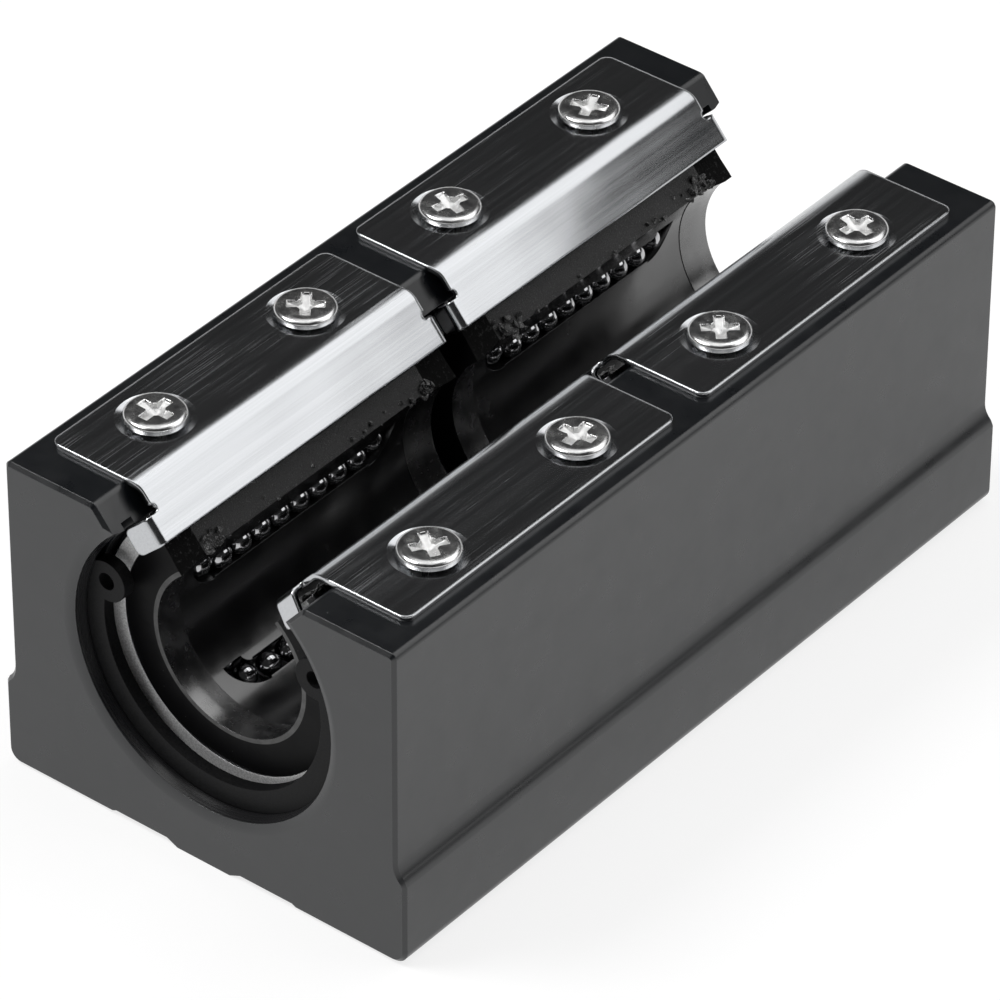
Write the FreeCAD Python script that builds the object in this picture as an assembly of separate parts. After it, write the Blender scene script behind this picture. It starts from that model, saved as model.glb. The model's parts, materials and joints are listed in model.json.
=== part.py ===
"""Open linear bearing block for a supported 16 mm shaft.

The block lies on its mounting face at Z = 0, the shaft runs along Y at axis_height and the
slot for the shaft support opens upwards.  The origin is the centre of the mounting face.
Two open recirculating ball bearings sit end to end in the block, held by a circlip at each
end and by four sprung plates screwed to the arms.  All sizes are in millimetres.
"""

import FreeCAD, Part
import math
import os

V = FreeCAD.Vector

# Block
block_length = 85.0
body_width = 43.0
axis_height = 20.0
arm_rise = 13.0
flange_overhang = 1.0
flange_height = 9.0
neck_radius = 2.2
base_edge_radius = 1.5
top_edge_radius = 0.6
slot_edge_radius = 0.8
end_chamfer = 0.35

# Shallow reliefs that run the length of the mounting face
centre_pad_width = 5.9
relief_width = 8.2
relief_depth = 0.55
relief_slope = 1.2

# Opening for the shaft support, measured between its two radial planes
opening_angle = 80.0
slot_wall_setback = 0.45

# Mouth of the bore, ahead of the circlip groove
mouth_step = 1.2
mouth_chamfer = 0.38
lead_in_step = 0.23
lead_in_length = 0.8

# Mounting holes in the base and tapped holes for the plates
mount_spacing_x = 32.0
mount_spacing_y = 60.0
mount_hole_radius = 2.1
mount_hole_depth = 12.0
plate_hole_radius = 1.25
plate_hole_depth = 7.0
hole_tip_angle = 118.0

# Bearing shell
shell_wall = 2.62
bearing_gap = 3.0
seat_clearance = 0.02
shell_chamfer = 0.5
shell_groove_depth = 0.5
shell_groove_width = 1.6
shell_groove_inset = 5.25

# Balls and their circuits
ball_radius = 1.1905
shaft_radius = 8.0
ball_running_clearance = 0.01
raceway_clearance = 0.02
return_rise = 0.97
circuit_pitch_angle = 72.0
circuit_half_angle = 12.0
circuit_end_margin = 6.1
ball_gap = 0.17
circuits_per_bearing = 4
land_half_width = 1.15

# Ball retainer
retainer_bore_gap = 0.5
retainer_clearance = 0.1
slot_width = 2.34
channel_clearance = 0.1

# End seals
seal_thickness = 3.4
seal_seat_step = 0.27
seal_clearance = 0.05
seal_recess = 0.1
lip_gap = 0.05
lip_width = 0.45
lip_projection = 0.1
lip_length = 1.0
lip_flank = 1.5
seal_bore_gap = 0.45

# Circlips
circlip_inset = 1.65
circlip_thickness = 1.2
circlip_side_clearance = 0.05
circlip_groove_depth = 0.7
circlip_rim_clearance = 0.05
circlip_tab_gap = 0.3
circlip_width = 2.95
circlip_taper = 0.35
circlip_turn = -2.0
ear_angle = 70.0
ear_place = 2.4
ear_radius = 2.05
ear_hole_radius = 0.85

# Sprung plates
plate_thickness = 0.5
plate_end_margin = 0.27
plate_side_margin = 2.0
plate_bend_setback = 0.808
plate_bend_radius = 1.1
plate_corner_radius = 1.0
left_plate_shift = -0.35
right_plate_shift = 0.05
plate_outset = 0.15
plate_screw_hole_radius = 2.1
flange_tip_gap = 3.0
tab_width = 2.7
tab_depth = 2.6
tab_bend_radius = 0.4
tab_end_clearance = 0.25
tab_corner_radius = 0.6
outer_tab_lean = 18.0
tab_relief_radius = 0.4

# Plate screws
screw_end_margin = 8.23
screw_side_margin = 4.4
screw_pattern_offset = -0.1
screw_shank_radius = 1.22
screw_length = 5.5
screw_head_radius = 2.85
screw_head_rim = 0.4
screw_head_height = 0.85
screw_head_bevel = 0.5
recess_width = 0.8
recess_span = 3.2
recess_depth = 0.65

# Places that follow from the sizes above
half_opening = math.radians(opening_angle / 2)
flange_width = body_width + 2 * flange_overhang
block_height = axis_height + arm_rise
load_row_radius = shaft_radius + ball_running_clearance + ball_radius
return_row_radius = load_row_radius + return_rise
raceway_radius = load_row_radius + ball_radius + raceway_clearance
shell_bore_radius = return_row_radius + ball_radius + raceway_clearance
bearing_radius = shell_bore_radius + shell_wall
seat_radius = bearing_radius + seat_clearance
retainer_radius = shell_bore_radius - retainer_clearance
retainer_bore_radius = shaft_radius + retainer_bore_gap
seal_radius = shell_bore_radius + seal_seat_step
lip_radius = shaft_radius + lip_gap
seal_inner_radius = shaft_radius + seal_bore_gap
circlip_groove_radius = bearing_radius + circlip_groove_depth
circlip_inner_radius = circlip_groove_radius - circlip_rim_clearance - circlip_width + circlip_taper
circlip_groove_end = circlip_inset + circlip_thickness + 2 * circlip_side_clearance
bearing_end = circlip_groove_end + circlip_tab_gap + plate_thickness + tab_end_clearance
bearing_length = block_length / 2 - bearing_end - bearing_gap / 2
bearing_offset = block_length / 2 - bearing_end - bearing_length / 2
plate_length = bearing_length - 2 * plate_end_margin
plate_outer_edge = body_width / 2 - plate_side_margin
plate_bend_start = arm_rise * math.tan(half_opening) - plate_bend_setback
flange_tip_radius = shaft_radius + flange_tip_gap
screw_row_x = plate_outer_edge - screw_side_margin
screw_pitch = plate_length - 2 * screw_end_margin
load_offset = load_row_radius * math.sin(math.radians(circuit_half_angle))
load_height = load_row_radius * math.cos(math.radians(circuit_half_angle))
return_offset = return_row_radius * math.sin(math.radians(circuit_half_angle))
return_height = return_row_radius * math.cos(math.radians(circuit_half_angle))
turn_radius = (load_offset + return_offset) / 2
turn_middle = (return_offset - load_offset) / 2
turn_place = bearing_length / 2 - circuit_end_margin - turn_radius
circuit_loop = 4 * turn_place + 2 * math.pi * turn_radius
balls_per_circuit = int(circuit_loop / (2 * ball_radius + ball_gap))
far_reach = 2 * block_height


def place_y(shape, y):
    """Return the shape moved along the shaft axis."""
    return shape.translated(V(0, y, 0))


def turned(shape, angle):
    """Turn a shape drawn upright above the shaft axis by an angle towards +X."""
    copy = shape.copy()
    copy.rotate(V(0, 0, axis_height), V(0, 1, 0), angle)
    return copy


def polygon_prism(points, y_start, length):
    """Extrude a closed outline of (x, z) points along Y."""
    corners = [V(x, y_start, z) for x, z in points]
    face = Part.Face(Part.makePolygon(corners + corners[:1]))
    return face.extrude(V(0, length, 0))


def ring_of(points):
    """Revolve a closed outline of (radius, y) points round the shaft axis."""
    corners = [V(r, y, axis_height) for r, y in points]
    face = Part.Face(Part.makePolygon(corners + corners[:1]))
    return face.revolve(V(0, 0, axis_height), V(0, 1, 0), 360)


def rod(radius, y_start, length):
    """Make a round bar on the shaft axis."""
    return Part.makeCylinder(radius, length, V(0, y_start, axis_height), V(0, 1, 0))


def opening_wedge(setback, y_start, length):
    """Make the wedge between two walls set back from the opening's radial planes."""
    apex = axis_height - setback / math.sin(half_opening)
    top = axis_height + far_reach
    half_width = (top - apex) * math.tan(half_opening)
    outline = [(0, apex), (half_width, top), (-half_width, top)]
    return polygon_prism(outline, y_start, length)


def block_outline():
    """Draw the block's end view, from the mounting face round to the flat top."""
    half_flange = flange_width / 2
    half_body = body_width / 2
    step = half_flange - half_body
    neck_rise = math.sqrt(neck_radius ** 2 - (neck_radius - step) ** 2)
    neck_top = flange_height + neck_rise
    neck_turn = math.atan2(neck_rise, neck_radius - step) / 2
    neck_x = half_body + neck_radius - neck_radius * math.cos(neck_turn)
    neck_z = neck_top - neck_radius * math.sin(neck_turn)
    corner = base_edge_radius
    corner_mid = corner * (1 - math.sqrt(0.5))
    right = [
        Part.LineSegment(V(0, 0, 0), V(half_flange - corner, 0, 0)),
        Part.Arc(
            V(half_flange - corner, 0, 0),
            V(half_flange - corner_mid, 0, corner_mid),
            V(half_flange, 0, corner),
        ),
        Part.LineSegment(V(half_flange, 0, corner), V(half_flange, 0, flange_height)),
        Part.Arc(V(half_flange, 0, flange_height), V(neck_x, 0, neck_z), V(half_body, 0, neck_top)),
        Part.LineSegment(V(half_body, 0, neck_top), V(half_body, 0, block_height)),
        Part.LineSegment(V(half_body, 0, block_height), V(0, 0, block_height)),
    ]
    half = Part.Wire([piece.toShape() for piece in right])
    other = half.mirror(V(0, 0, 0), V(1, 0, 0))
    return Part.Wire(Part.__sortEdges__(half.Edges + other.Edges))


def base_relief(side):
    """Make the shallow trapezium cut from one side of the mounting face."""
    inner = side * centre_pad_width / 2
    outer = side * (centre_pad_width / 2 + relief_width)
    slope = side * relief_slope
    outline = [
        (inner, 0),
        (inner + slope, relief_depth),
        (outer - slope, relief_depth),
        (outer, 0),
        (outer, -relief_depth),
        (inner, -relief_depth),
    ]
    return polygon_prism(outline, -block_length, 2 * block_length)


def drilled_hole(radius, depth, x, y, z, upwards):
    """Make a blind hole with a drill point, from a flat face at height z."""
    sense = 1 if upwards else -1
    tip = radius / math.tan(math.radians(hole_tip_angle / 2))
    shank = Part.makeCylinder(radius, depth, V(x, y, z), V(0, 0, sense))
    point = Part.makeCone(radius, 0, tip, V(x, y, z + sense * depth), V(0, 0, sense))
    return shank.fuse(point)


def bore_cut():
    """Make the stepped bore: mouth chamfers, lead-ins, circlip grooves and bearing seat."""
    end = block_length / 2
    groove = end - circlip_inset
    groove_end = end - circlip_groove_end
    chamfer_end = end - mouth_chamfer
    right = [
        (seat_radius + mouth_step, end),
        (seat_radius + lead_in_step, chamfer_end),
        (seat_radius, chamfer_end - lead_in_length),
        (seat_radius, groove),
        (circlip_groove_radius, groove),
        (circlip_groove_radius, groove_end),
        (seat_radius, groove_end),
    ]
    mirrored = [(r, -y) for r, y in reversed(right)]
    mouth = seat_radius + mouth_step
    overrun = [(mouth, -end - end_chamfer), (0, -end - end_chamfer)]
    start = [(0, end + end_chamfer), (mouth, end + end_chamfer)]
    return ring_of(start + right + mirrored + overrun)


def edges_along_y(shape, x, z):
    """Pick the straight edges that run the block's length at a place in its end view."""
    found = []
    for edge in shape.Edges:
        ends = [vertex.Point for vertex in edge.Vertexes]
        on_line = all(abs(abs(p.x) - x) < 1e-4 and abs(p.z - z) < 1e-4 for p in ends)
        if len(ends) == 2 and on_line and edge.Length > block_length / 2:
            found.append(edge)
    return found


def block_body():
    """Make the extruded and machined housing."""
    body = Part.Face(block_outline()).extrude(V(0, block_length, 0))
    body = place_y(body, -block_length / 2)
    body = body.cut(opening_wedge(slot_wall_setback, -block_length, 2 * block_length))
    for side in (-1, 1):
        body = body.cut(base_relief(side))
    apex = axis_height - slot_wall_setback / math.sin(half_opening)
    slot_top = (block_height - apex) * math.tan(half_opening)
    body = body.makeFillet(slot_edge_radius, edges_along_y(body, slot_top, block_height))
    body = body.makeFillet(top_edge_radius, edges_along_y(body, body_width / 2, block_height))
    rims = []
    for edge in body.Edges:
        ends = [abs(vertex.Point.y) for vertex in edge.Vertexes]
        outside = all(vertex.Point.z > relief_depth + 1e-4 or abs(vertex.Point.x) > slot_top
                      for vertex in edge.Vertexes)
        if min(ends) > block_length / 2 - 1e-4 and outside:
            rims.append(edge)
    body = body.makeChamfer(end_chamfer, rims)
    body = body.cut(bore_cut())
    for x in (-mount_spacing_x / 2, mount_spacing_x / 2):
        for y in (-mount_spacing_y / 2, mount_spacing_y / 2):
            body = body.cut(drilled_hole(mount_hole_radius, mount_hole_depth, x, y, 0, True))
    for x, y in screw_places():
        body = body.cut(drilled_hole(plate_hole_radius, plate_hole_depth, x, y, block_height, False))
    return body


def screw_places():
    """List the plate screws: a pair for each plate, in two rows along the arms."""
    places = []
    for x in (-screw_row_x, screw_row_x):
        for row in (-1, 1):
            middle = screw_pattern_offset + row * bearing_offset
            places += [(x, middle - screw_pitch / 2), (x, middle + screw_pitch / 2)]
    return places


def circuit_angles():
    """List the middle angle of each ball circuit, evenly pitched about the bottom."""
    middle = (circuits_per_bearing - 1) / 2
    return [180 + (i - middle) * circuit_pitch_angle for i in range(circuits_per_bearing)]


def bearing_shell():
    """Make the hardened shell with its ridged raceways, seal seats and outer grooves."""
    end = bearing_length / 2
    seat = end - seal_thickness
    groove_out = end - shell_groove_inset
    groove_in = groove_out - shell_groove_width
    right = [
        (shell_bore_radius, seat),
        (seal_radius + seal_clearance, seat),
        (seal_radius + seal_clearance, end),
        (bearing_radius - shell_chamfer, end),
        (bearing_radius, end - shell_chamfer),
        (bearing_radius, groove_out),
        (bearing_radius - shell_groove_depth, groove_out),
        (bearing_radius - shell_groove_depth, groove_in),
        (bearing_radius, groove_in),
    ]
    mirrored = [(r, -y) for r, y in reversed(right)]
    shell = ring_of(right + mirrored)
    root = shell_bore_radius + raceway_clearance
    sleeve = rod(root, -turn_place, 2 * turn_place).cut(rod(raceway_radius, -turn_place, 2 * turn_place))
    for angle in circuit_angles():
        ridge = Part.makeBox(
            2 * land_half_width, 2 * turn_place, root,
            V(-land_half_width, -turn_place, axis_height),
        )
        shell = shell.fuse(sleeve.common(turned(ridge, angle - circuit_half_angle)))
    return shell.removeSplitter().cut(opening_wedge(0, -end, bearing_length))


def row_cut(width, floor):
    """Make a straight radial channel, standing upright, as long as a ball row."""
    radius_top = retainer_radius + retainer_clearance
    return Part.makeBox(
        width, 2 * turn_place, radius_top - floor,
        V(-width / 2, -turn_place, axis_height + floor),
    )


def turn_cut(width, floor, end, sweep):
    """Make the curved channel of an end turn, from the load row through the given sweep."""
    top = retainer_radius + retainer_clearance
    base = V(turn_middle, end * turn_place, axis_height + floor)
    outer = Part.makeCylinder(turn_radius + width / 2, top - floor, base, V(0, 0, 1), sweep)
    inner = Part.makeCylinder(turn_radius - width / 2, top - floor, base, V(0, 0, 1), sweep)
    curve = outer.cut(inner)
    curve.rotate(base, V(0, 0, 1), 180 - sweep if end > 0 else 180)
    return curve


def ball_retainer():
    """Make the moulded retainer with the load slots and return channels of each circuit."""
    half = bearing_length / 2 - seal_thickness
    retainer = rod(retainer_radius, -half, 2 * half).cut(rod(retainer_bore_radius, -half, 2 * half))
    channel = 2 * (ball_radius + channel_clearance)
    return_floor = return_row_radius - ball_radius - channel_clearance
    turn_floor = return_height - ball_radius - channel_clearance
    cuts = []
    for angle in circuit_angles():
        load = angle - circuit_half_angle
        cuts.append(turned(row_cut(slot_width, 0), load))
        cuts.append(turned(row_cut(channel, load_row_radius - ball_radius / 4), load))
        cuts.append(turned(row_cut(channel, return_floor), angle + circuit_half_angle))
        for end in (-1, 1):
            cuts.append(turned(turn_cut(channel, turn_floor, end, 180), angle))
            cuts.append(turned(turn_cut(slot_width, 0, end, 90), angle))
    for cut in cuts:
        retainer = retainer.cut(cut)
    return retainer.cut(opening_wedge(0, -half, 2 * half))


def ball_path_point(distance):
    """Give a ball's centre on an upright circuit as (across, along, height above the axis).

    The ball runs down the load row towards +Y, climbs through the far turn to the return row,
    comes back towards -Y, and sinks through the near turn to the load row again.
    """
    straight = 2 * turn_place
    turn = math.pi * turn_radius
    if distance < straight:
        return -load_offset, distance - turn_place, load_height
    if distance < straight + turn:
        angle = (distance - straight) / turn_radius
        place = turn_place + turn_radius * math.sin(angle)
        from_load = angle
    elif distance < 2 * straight + turn:
        return return_offset, turn_place - (distance - straight - turn), return_height
    else:
        angle = math.pi + (distance - 2 * straight - turn) / turn_radius
        place = turn_radius * math.sin(angle) - turn_place
        from_load = 2 * math.pi - angle
    rise = min(1.0, from_load / (math.pi / 2))
    height = load_height + rise * (return_height - load_height)
    return turn_middle - turn_radius * math.cos(angle), place, height


def faceted_ball(centre):
    """Make a ball with 32 flat facets: an octahedron split once, its corners on the sphere."""
    axes = [V(1, 0, 0), V(0, 1, 0), V(-1, 0, 0), V(0, -1, 0)]
    poles = [V(0, 0, 1), V(0, 0, -1)]
    faces = []
    for pole in poles:
        for i in range(len(axes)):
            corner_a, corner_b = axes[i], axes[(i + 1) % len(axes)]
            mid_ab = (corner_a + corner_b).normalize()
            mid_bp = (corner_b + pole).normalize()
            mid_pa = (pole + corner_a).normalize()
            triangles = [
                (corner_a, mid_ab, mid_pa),
                (mid_ab, corner_b, mid_bp),
                (mid_pa, mid_bp, pole),
                (mid_ab, mid_bp, mid_pa),
            ]
            for triangle in triangles:
                points = [centre + corner * ball_radius for corner in triangle]
                faces.append(Part.Face(Part.makePolygon(points + points[:1])))
    return Part.makeSolid(Part.makeShell(faces))


def ball_circuit(angle, y):
    """Make one circuit's balls, evenly spaced round the loop."""
    balls = []
    for i in range(balls_per_circuit):
        across, along, height = ball_path_point((i + 0.5) * circuit_loop / balls_per_circuit)
        balls.append(faceted_ball(V(across, along, axis_height + height)))
    return place_y(turned(Part.makeCompound(balls), angle), y)


def end_seal():
    """Make the rubber end seal that faces +Y, with its raised lip round the shaft."""
    end = bearing_length / 2
    face = end - seal_recess
    back = end - seal_thickness
    lip_top = face + lip_projection
    outline = [
        (lip_radius, lip_top),
        (lip_radius + lip_width, lip_top),
        (lip_radius + lip_width + lip_flank, face),
        (seal_radius, face),
        (seal_radius, back),
        (seal_inner_radius, back),
        (lip_radius, lip_top - lip_length),
    ]
    return ring_of(outline).cut(opening_wedge(0, back, 2 * seal_thickness))


def circlip():
    """Make the internal circlip, which thins towards the ears and their plier holes."""
    outer = rod(circlip_groove_radius - circlip_rim_clearance, 0, circlip_thickness)
    inner = rod(circlip_inner_radius, 0, circlip_thickness).translated(V(0, 0, circlip_taper))
    ring = outer.cut(inner)
    top = far_reach
    side = top * math.tan(math.radians(ear_angle))
    gap = [(0, axis_height), (side, axis_height + top), (-side, axis_height + top)]
    ring = ring.cut(polygon_prism(gap, 0, circlip_thickness))
    for sense in (-1, 1):
        centre = V(0, 0, axis_height + circlip_groove_radius - ear_place)
        ear = Part.makeCylinder(ear_radius, circlip_thickness, centre, V(0, 1, 0))
        hole = Part.makeCylinder(ear_hole_radius, circlip_thickness, centre, V(0, 1, 0))
        ring = ring.fuse(turned(ear, sense * ear_angle)).cut(turned(hole, sense * ear_angle))
    return turned(ring.removeSplitter(), circlip_turn)


def bent_strip(path, thickness, inner_radius, thick_side):
    """Draw a bent sheet's section: a path, its offset, and concentric arcs at each bend.

    The path is a list of flat (a, b) points and the offset lies on the given side of it,
    +1 for the left of its direction.  The result is a list of edges in the a-b plane.
    """
    directions = []
    for start, finish in zip(path, path[1:]):
        length = math.hypot(finish[0] - start[0], finish[1] - start[1])
        directions.append(((finish[0] - start[0]) / length, (finish[1] - start[1]) / length))
    offset_path = []
    for i, point in enumerate(path):
        before = directions[max(i - 1, 0)]
        after = directions[min(i, len(directions) - 1)]
        normal = (-(before[1] + after[1]) / 2, (before[0] + after[0]) / 2)
        scale = thick_side * thickness / (normal[0] ** 2 + normal[1] ** 2)
        offset_path.append((point[0] + normal[0] * scale, point[1] + normal[1] * scale))
    edges = []
    for line, is_offset in ((path, False), (offset_path, True)):
        last = line[0]
        for i in range(1, len(line) - 1):
            before, after = directions[i - 1], directions[i]
            turn = math.atan2(before[0] * after[1] - before[1] * after[0],
                              before[0] * after[0] + before[1] * after[1])
            outside = (turn * thick_side < 0) == is_offset
            radius = inner_radius + (thickness if outside else 0)
            reach = radius * math.tan(abs(turn) / 2)
            start = (line[i][0] - before[0] * reach, line[i][1] - before[1] * reach)
            finish = (line[i][0] + after[0] * reach, line[i][1] + after[1] * reach)
            side = 1 if turn > 0 else -1
            centre = (start[0] - side * before[1] * radius, start[1] + side * before[0] * radius)
            toward = (line[i][0] - centre[0], line[i][1] - centre[1])
            length = math.hypot(toward[0], toward[1])
            middle = (centre[0] + toward[0] * radius / length, centre[1] + toward[1] * radius / length)
            edges.append(Part.LineSegment(V(last[0], last[1], 0), V(start[0], start[1], 0)).toShape())
            edges.append(Part.Arc(V(start[0], start[1], 0), V(middle[0], middle[1], 0),
                                  V(finish[0], finish[1], 0)).toShape())
            last = finish
        edges.append(Part.LineSegment(V(last[0], last[1], 0), V(line[-1][0], line[-1][1], 0)).toShape())
    for near, far in ((path[0], offset_path[0]), (path[-1], offset_path[-1])):
        edges.append(Part.LineSegment(V(near[0], near[1], 0), V(far[0], far[1], 0)).toShape())
    return edges


def strip_face(edges, origin, a_axis, b_axis):
    """Stand a flat section up in the frame given by its origin and two axes."""
    face = Part.Face(Part.Wire(Part.__sortEdges__(edges)))
    c_axis = a_axis.cross(b_axis)
    matrix = FreeCAD.Matrix(
        a_axis.x, b_axis.x, c_axis.x, origin.x,
        a_axis.y, b_axis.y, c_axis.y, origin.y,
        a_axis.z, b_axis.z, c_axis.z, origin.z,
        0, 0, 0, 1,
    )
    face.Placement = FreeCAD.Placement(matrix)
    return face


def right_plate(lean_low, lean_high):
    """Make the plate of the +X arm, centred on Y = 0, with the lean of its two end tabs.

    It is drawn from the edge that rests on the arm, round the bend and down beside the
    bearing's opening.  The tabs at its ends fold over the ends of the bearing's shell.
    """
    half = plate_length / 2
    under = block_height
    top = under + plate_thickness
    bend_reach = (plate_bend_radius + plate_thickness) * math.tan((math.pi / 2 - half_opening) / 2)
    corner_x = plate_bend_start - bend_reach
    radial = V(math.sin(half_opening), 0, math.cos(half_opening))
    inward = V(math.cos(half_opening), 0, -math.sin(half_opening))
    corner = V(corner_x, 0, top - axis_height)
    flange_depth = corner.dot(radial) - flange_tip_radius
    tip = corner - radial * flange_depth
    path = [(plate_outer_edge, top), (corner.x, top), (tip.x, tip.z + axis_height)]
    section = bent_strip(path, plate_thickness, plate_bend_radius, 1)
    plate = strip_face(section, V(0, -half, 0), V(1, 0, 0), V(0, 0, 1)).extrude(V(0, 2 * half, 0))
    hook = bearing_length / 2 + tab_end_clearance + plate_thickness
    low = math.radians(lean_low)
    high = math.radians(lean_high)
    tab_path = [
        (-hook - tab_depth * math.tan(low), tab_depth),
        (-hook, 0),
        (hook, 0),
        (hook + tab_depth * math.tan(high), tab_depth),
    ]
    tab_section = bent_strip(tab_path, plate_thickness, tab_bend_radius, 1)
    tip_world = V(tip.x, 0, tip.z + axis_height)
    clasp = strip_face(tab_section, tip_world, V(0, 1, 0), inward).extrude(radial * tab_width)
    clasp = clasp.makeFillet(tab_corner_radius, tab_corners(clasp))
    plate = plate.fuse(clasp)
    for end in (-half, half):
        notch_base = tip_world + radial * (tab_width + tab_relief_radius) + V(0, end, 0)
        notch_base = notch_base - inward * plate_thickness
        notch = Part.makeCylinder(tab_relief_radius, 3 * plate_thickness, notch_base, inward)
        plate = plate.cut(notch)
    plate = plate.removeSplitter()
    return plate.makeFillet(plate_corner_radius, plate_corners(plate))


def tab_corners(clasp):
    """Pick the edges through the sheet at the free corners of the two tabs."""
    found = []
    for edge in clasp.Edges:
        if isinstance(edge.Curve, Part.Line) and abs(edge.Length - plate_thickness) < 1e-6:
            found.append(edge)
    return found


def plate_corners(plate):
    """Pick the two upright edges at the plate's outer corners."""
    found = []
    for edge in plate.Edges:
        middle = edge.CenterOfMass
        at_corner = abs(middle.x - plate_outer_edge) < 1e-4 and abs(abs(middle.y) - plate_length / 2) < 1e-4
        if at_corner and abs(middle.z - block_height - plate_thickness / 2) < 1e-4:
            found.append(edge)
    return found


def sprung_plate(side, row):
    """Make one of the four plates: side is -1 or +1 across, row is -1 or +1 along."""
    leans = (outer_tab_lean, 0) if row < 0 else (0, outer_tab_lean)
    plate = right_plate(leans[0], leans[1])
    if side < 0:
        plate = plate.mirror(V(0, 0, 0), V(1, 0, 0))
    shift = left_plate_shift if side < 0 else right_plate_shift
    plate = plate.translated(V(shift, row * (bearing_offset + plate_outset), 0))
    for x, y in screw_places():
        hole = Part.makeCylinder(
            plate_screw_hole_radius, 2 * plate_thickness,
            V(x + shift, y, block_height - plate_thickness / 2), V(0, 0, 1),
        )
        if x * side > 0 and y * row > 0:
            plate = plate.cut(hole)
    return plate


def plate_screw():
    """Make a low pan-head screw with a cross recess, seated at the origin."""
    head_top = screw_head_height
    crown = screw_head_radius - screw_head_bevel
    outline = [
        V(0, 0, -screw_length),
        V(screw_shank_radius, 0, -screw_length),
        V(screw_shank_radius, 0, 0),
        V(screw_head_radius, 0, 0),
        V(screw_head_radius, 0, screw_head_rim),
        V(crown, 0, head_top),
        V(0, 0, head_top),
    ]
    face = Part.Face(Part.makePolygon(outline + outline[:1]))
    screw = face.revolve(V(0, 0, 0), V(0, 0, 1), 360)
    bar = Part.makeBox(
        recess_span, recess_width, 2 * recess_depth,
        V(-recess_span / 2, -recess_width / 2, head_top - recess_depth),
    )
    cross = bar.copy()
    cross.rotate(V(0, 0, 0), V(0, 0, 1), 90)
    return screw.cut(bar).cut(cross)


def plate_screws():
    """Make the eight screws, each turned as it was left by the driver."""
    screws = []
    base = block_height + plate_thickness
    for i, (x, y) in enumerate(screw_places()):
        screw = plate_screw()
        screw.rotate(V(0, 0, 0), V(0, 0, 1), 37.0 * i)
        screws.append(screw.translated(V(x, y, base)))
    return Part.makeCompound(screws)


def build():
    """Write one STEP file for each piece."""
    os.makedirs("parts", exist_ok=True)
    pieces = {"block_body": block_body(), "plate_screws": plate_screws()}
    for row, place in ((-1, "front"), (1, "rear")):
        y = row * bearing_offset
        pieces[place + "_bearing_shell"] = place_y(bearing_shell(), y)
        pieces[place + "_ball_retainer"] = place_y(ball_retainer(), y)
        seal = end_seal()
        facing_back = seal.mirror(V(0, 0, 0), V(0, 1, 0))
        pieces[place + "_bearing_front_seal"] = place_y(facing_back, y)
        pieces[place + "_bearing_rear_seal"] = place_y(seal, y)
        for i, angle in enumerate(circuit_angles()):
            pieces["{}_ball_circuit_{}".format(place, i + 1)] = ball_circuit(angle, y)
        ring = place_y(circlip(), block_length / 2 - circlip_inset - circlip_side_clearance - circlip_thickness)
        if row < 0:
            ring = ring.mirror(V(0, 0, 0), V(0, 1, 0))
        pieces[place + "_circlip"] = ring
        for side, hand in ((-1, "left"), (1, "right")):
            pieces["{}_{}_plate".format(place, hand)] = sprung_plate(side, row)
    for name, shape in pieces.items():
        shape.exportStep("parts/" + name + ".step")


build()
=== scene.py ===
"""Dresses the open linear bearing block: its surfaces, its balls and screws, and its studio."""
import json
import math

import bmesh
import bpy
import numpy as np
from bpy.props import FloatProperty, FloatVectorProperty, IntProperty, PointerProperty
from mathutils import Color, Matrix, Vector


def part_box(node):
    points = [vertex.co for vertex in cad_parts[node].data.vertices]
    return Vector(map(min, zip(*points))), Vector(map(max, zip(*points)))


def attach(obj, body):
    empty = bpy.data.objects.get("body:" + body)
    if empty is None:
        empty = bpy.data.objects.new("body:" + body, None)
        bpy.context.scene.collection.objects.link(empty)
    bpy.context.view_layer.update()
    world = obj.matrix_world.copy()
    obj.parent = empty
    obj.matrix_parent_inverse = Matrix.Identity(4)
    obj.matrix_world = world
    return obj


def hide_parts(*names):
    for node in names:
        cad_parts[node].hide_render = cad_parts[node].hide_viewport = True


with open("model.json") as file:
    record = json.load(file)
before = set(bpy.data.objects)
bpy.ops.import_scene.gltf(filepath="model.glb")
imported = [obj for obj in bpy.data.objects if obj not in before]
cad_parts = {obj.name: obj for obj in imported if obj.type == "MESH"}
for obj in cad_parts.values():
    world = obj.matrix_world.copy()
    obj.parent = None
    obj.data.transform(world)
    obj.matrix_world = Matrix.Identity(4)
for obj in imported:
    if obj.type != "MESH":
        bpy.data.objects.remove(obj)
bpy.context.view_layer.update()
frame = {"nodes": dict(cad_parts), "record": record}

bl_info = {
    "name": "Linear bearing block",
    "version": (1, 0, 0),
    "blender": (4, 5, 0),
    "location": "View3D > Sidebar > Bearing block",
    "description": "Dresses an open linear bearing block from its CAD frame",
    "category": "Object",
}

MM = 0.001
AXIS_HEIGHT = frame["record"]["mounts"][0]["pos_m"][2]
ROWS = ("front", "rear")
HANDS = ("left", "right")
CIRCUITS = 4  # of balls in one bearing
OPENING_ANGLE = 80.0  # of the wedge that a bearing leaves open, in degrees

# Merging and shading the CAD meshes
WELD = 1e-7  # points nearer than this are one point
FLAT = 0.002  # faces that turn less than this are one face, in radians
SMOOTH_CAD, SMOOTH_SCREW, SMOOTH_BURR = 0.6, 0.7, 0.8  # edges that turn more stay sharp

# Choosing faces by where they lie and how they look
INWARD = 0.6  # least part of a bore face's normal that points at the axis
ENDWARD = 0.9  # least part of an end face's normal that points along the axis
ROUNDWARD = 0.95  # least part of a sawn face's normal that points round the axis
SLIT_REACH = 0.05 * MM  # how far a sawn face's middle may lie from the opening's plane
TURNED_RADIUS = 15.3 * MM  # within it the housing was bored
LIP_DEPTH, LIP_ENDWARD = 0.004 * MM, 0.9995  # of the flat front of a seal's lip

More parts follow.
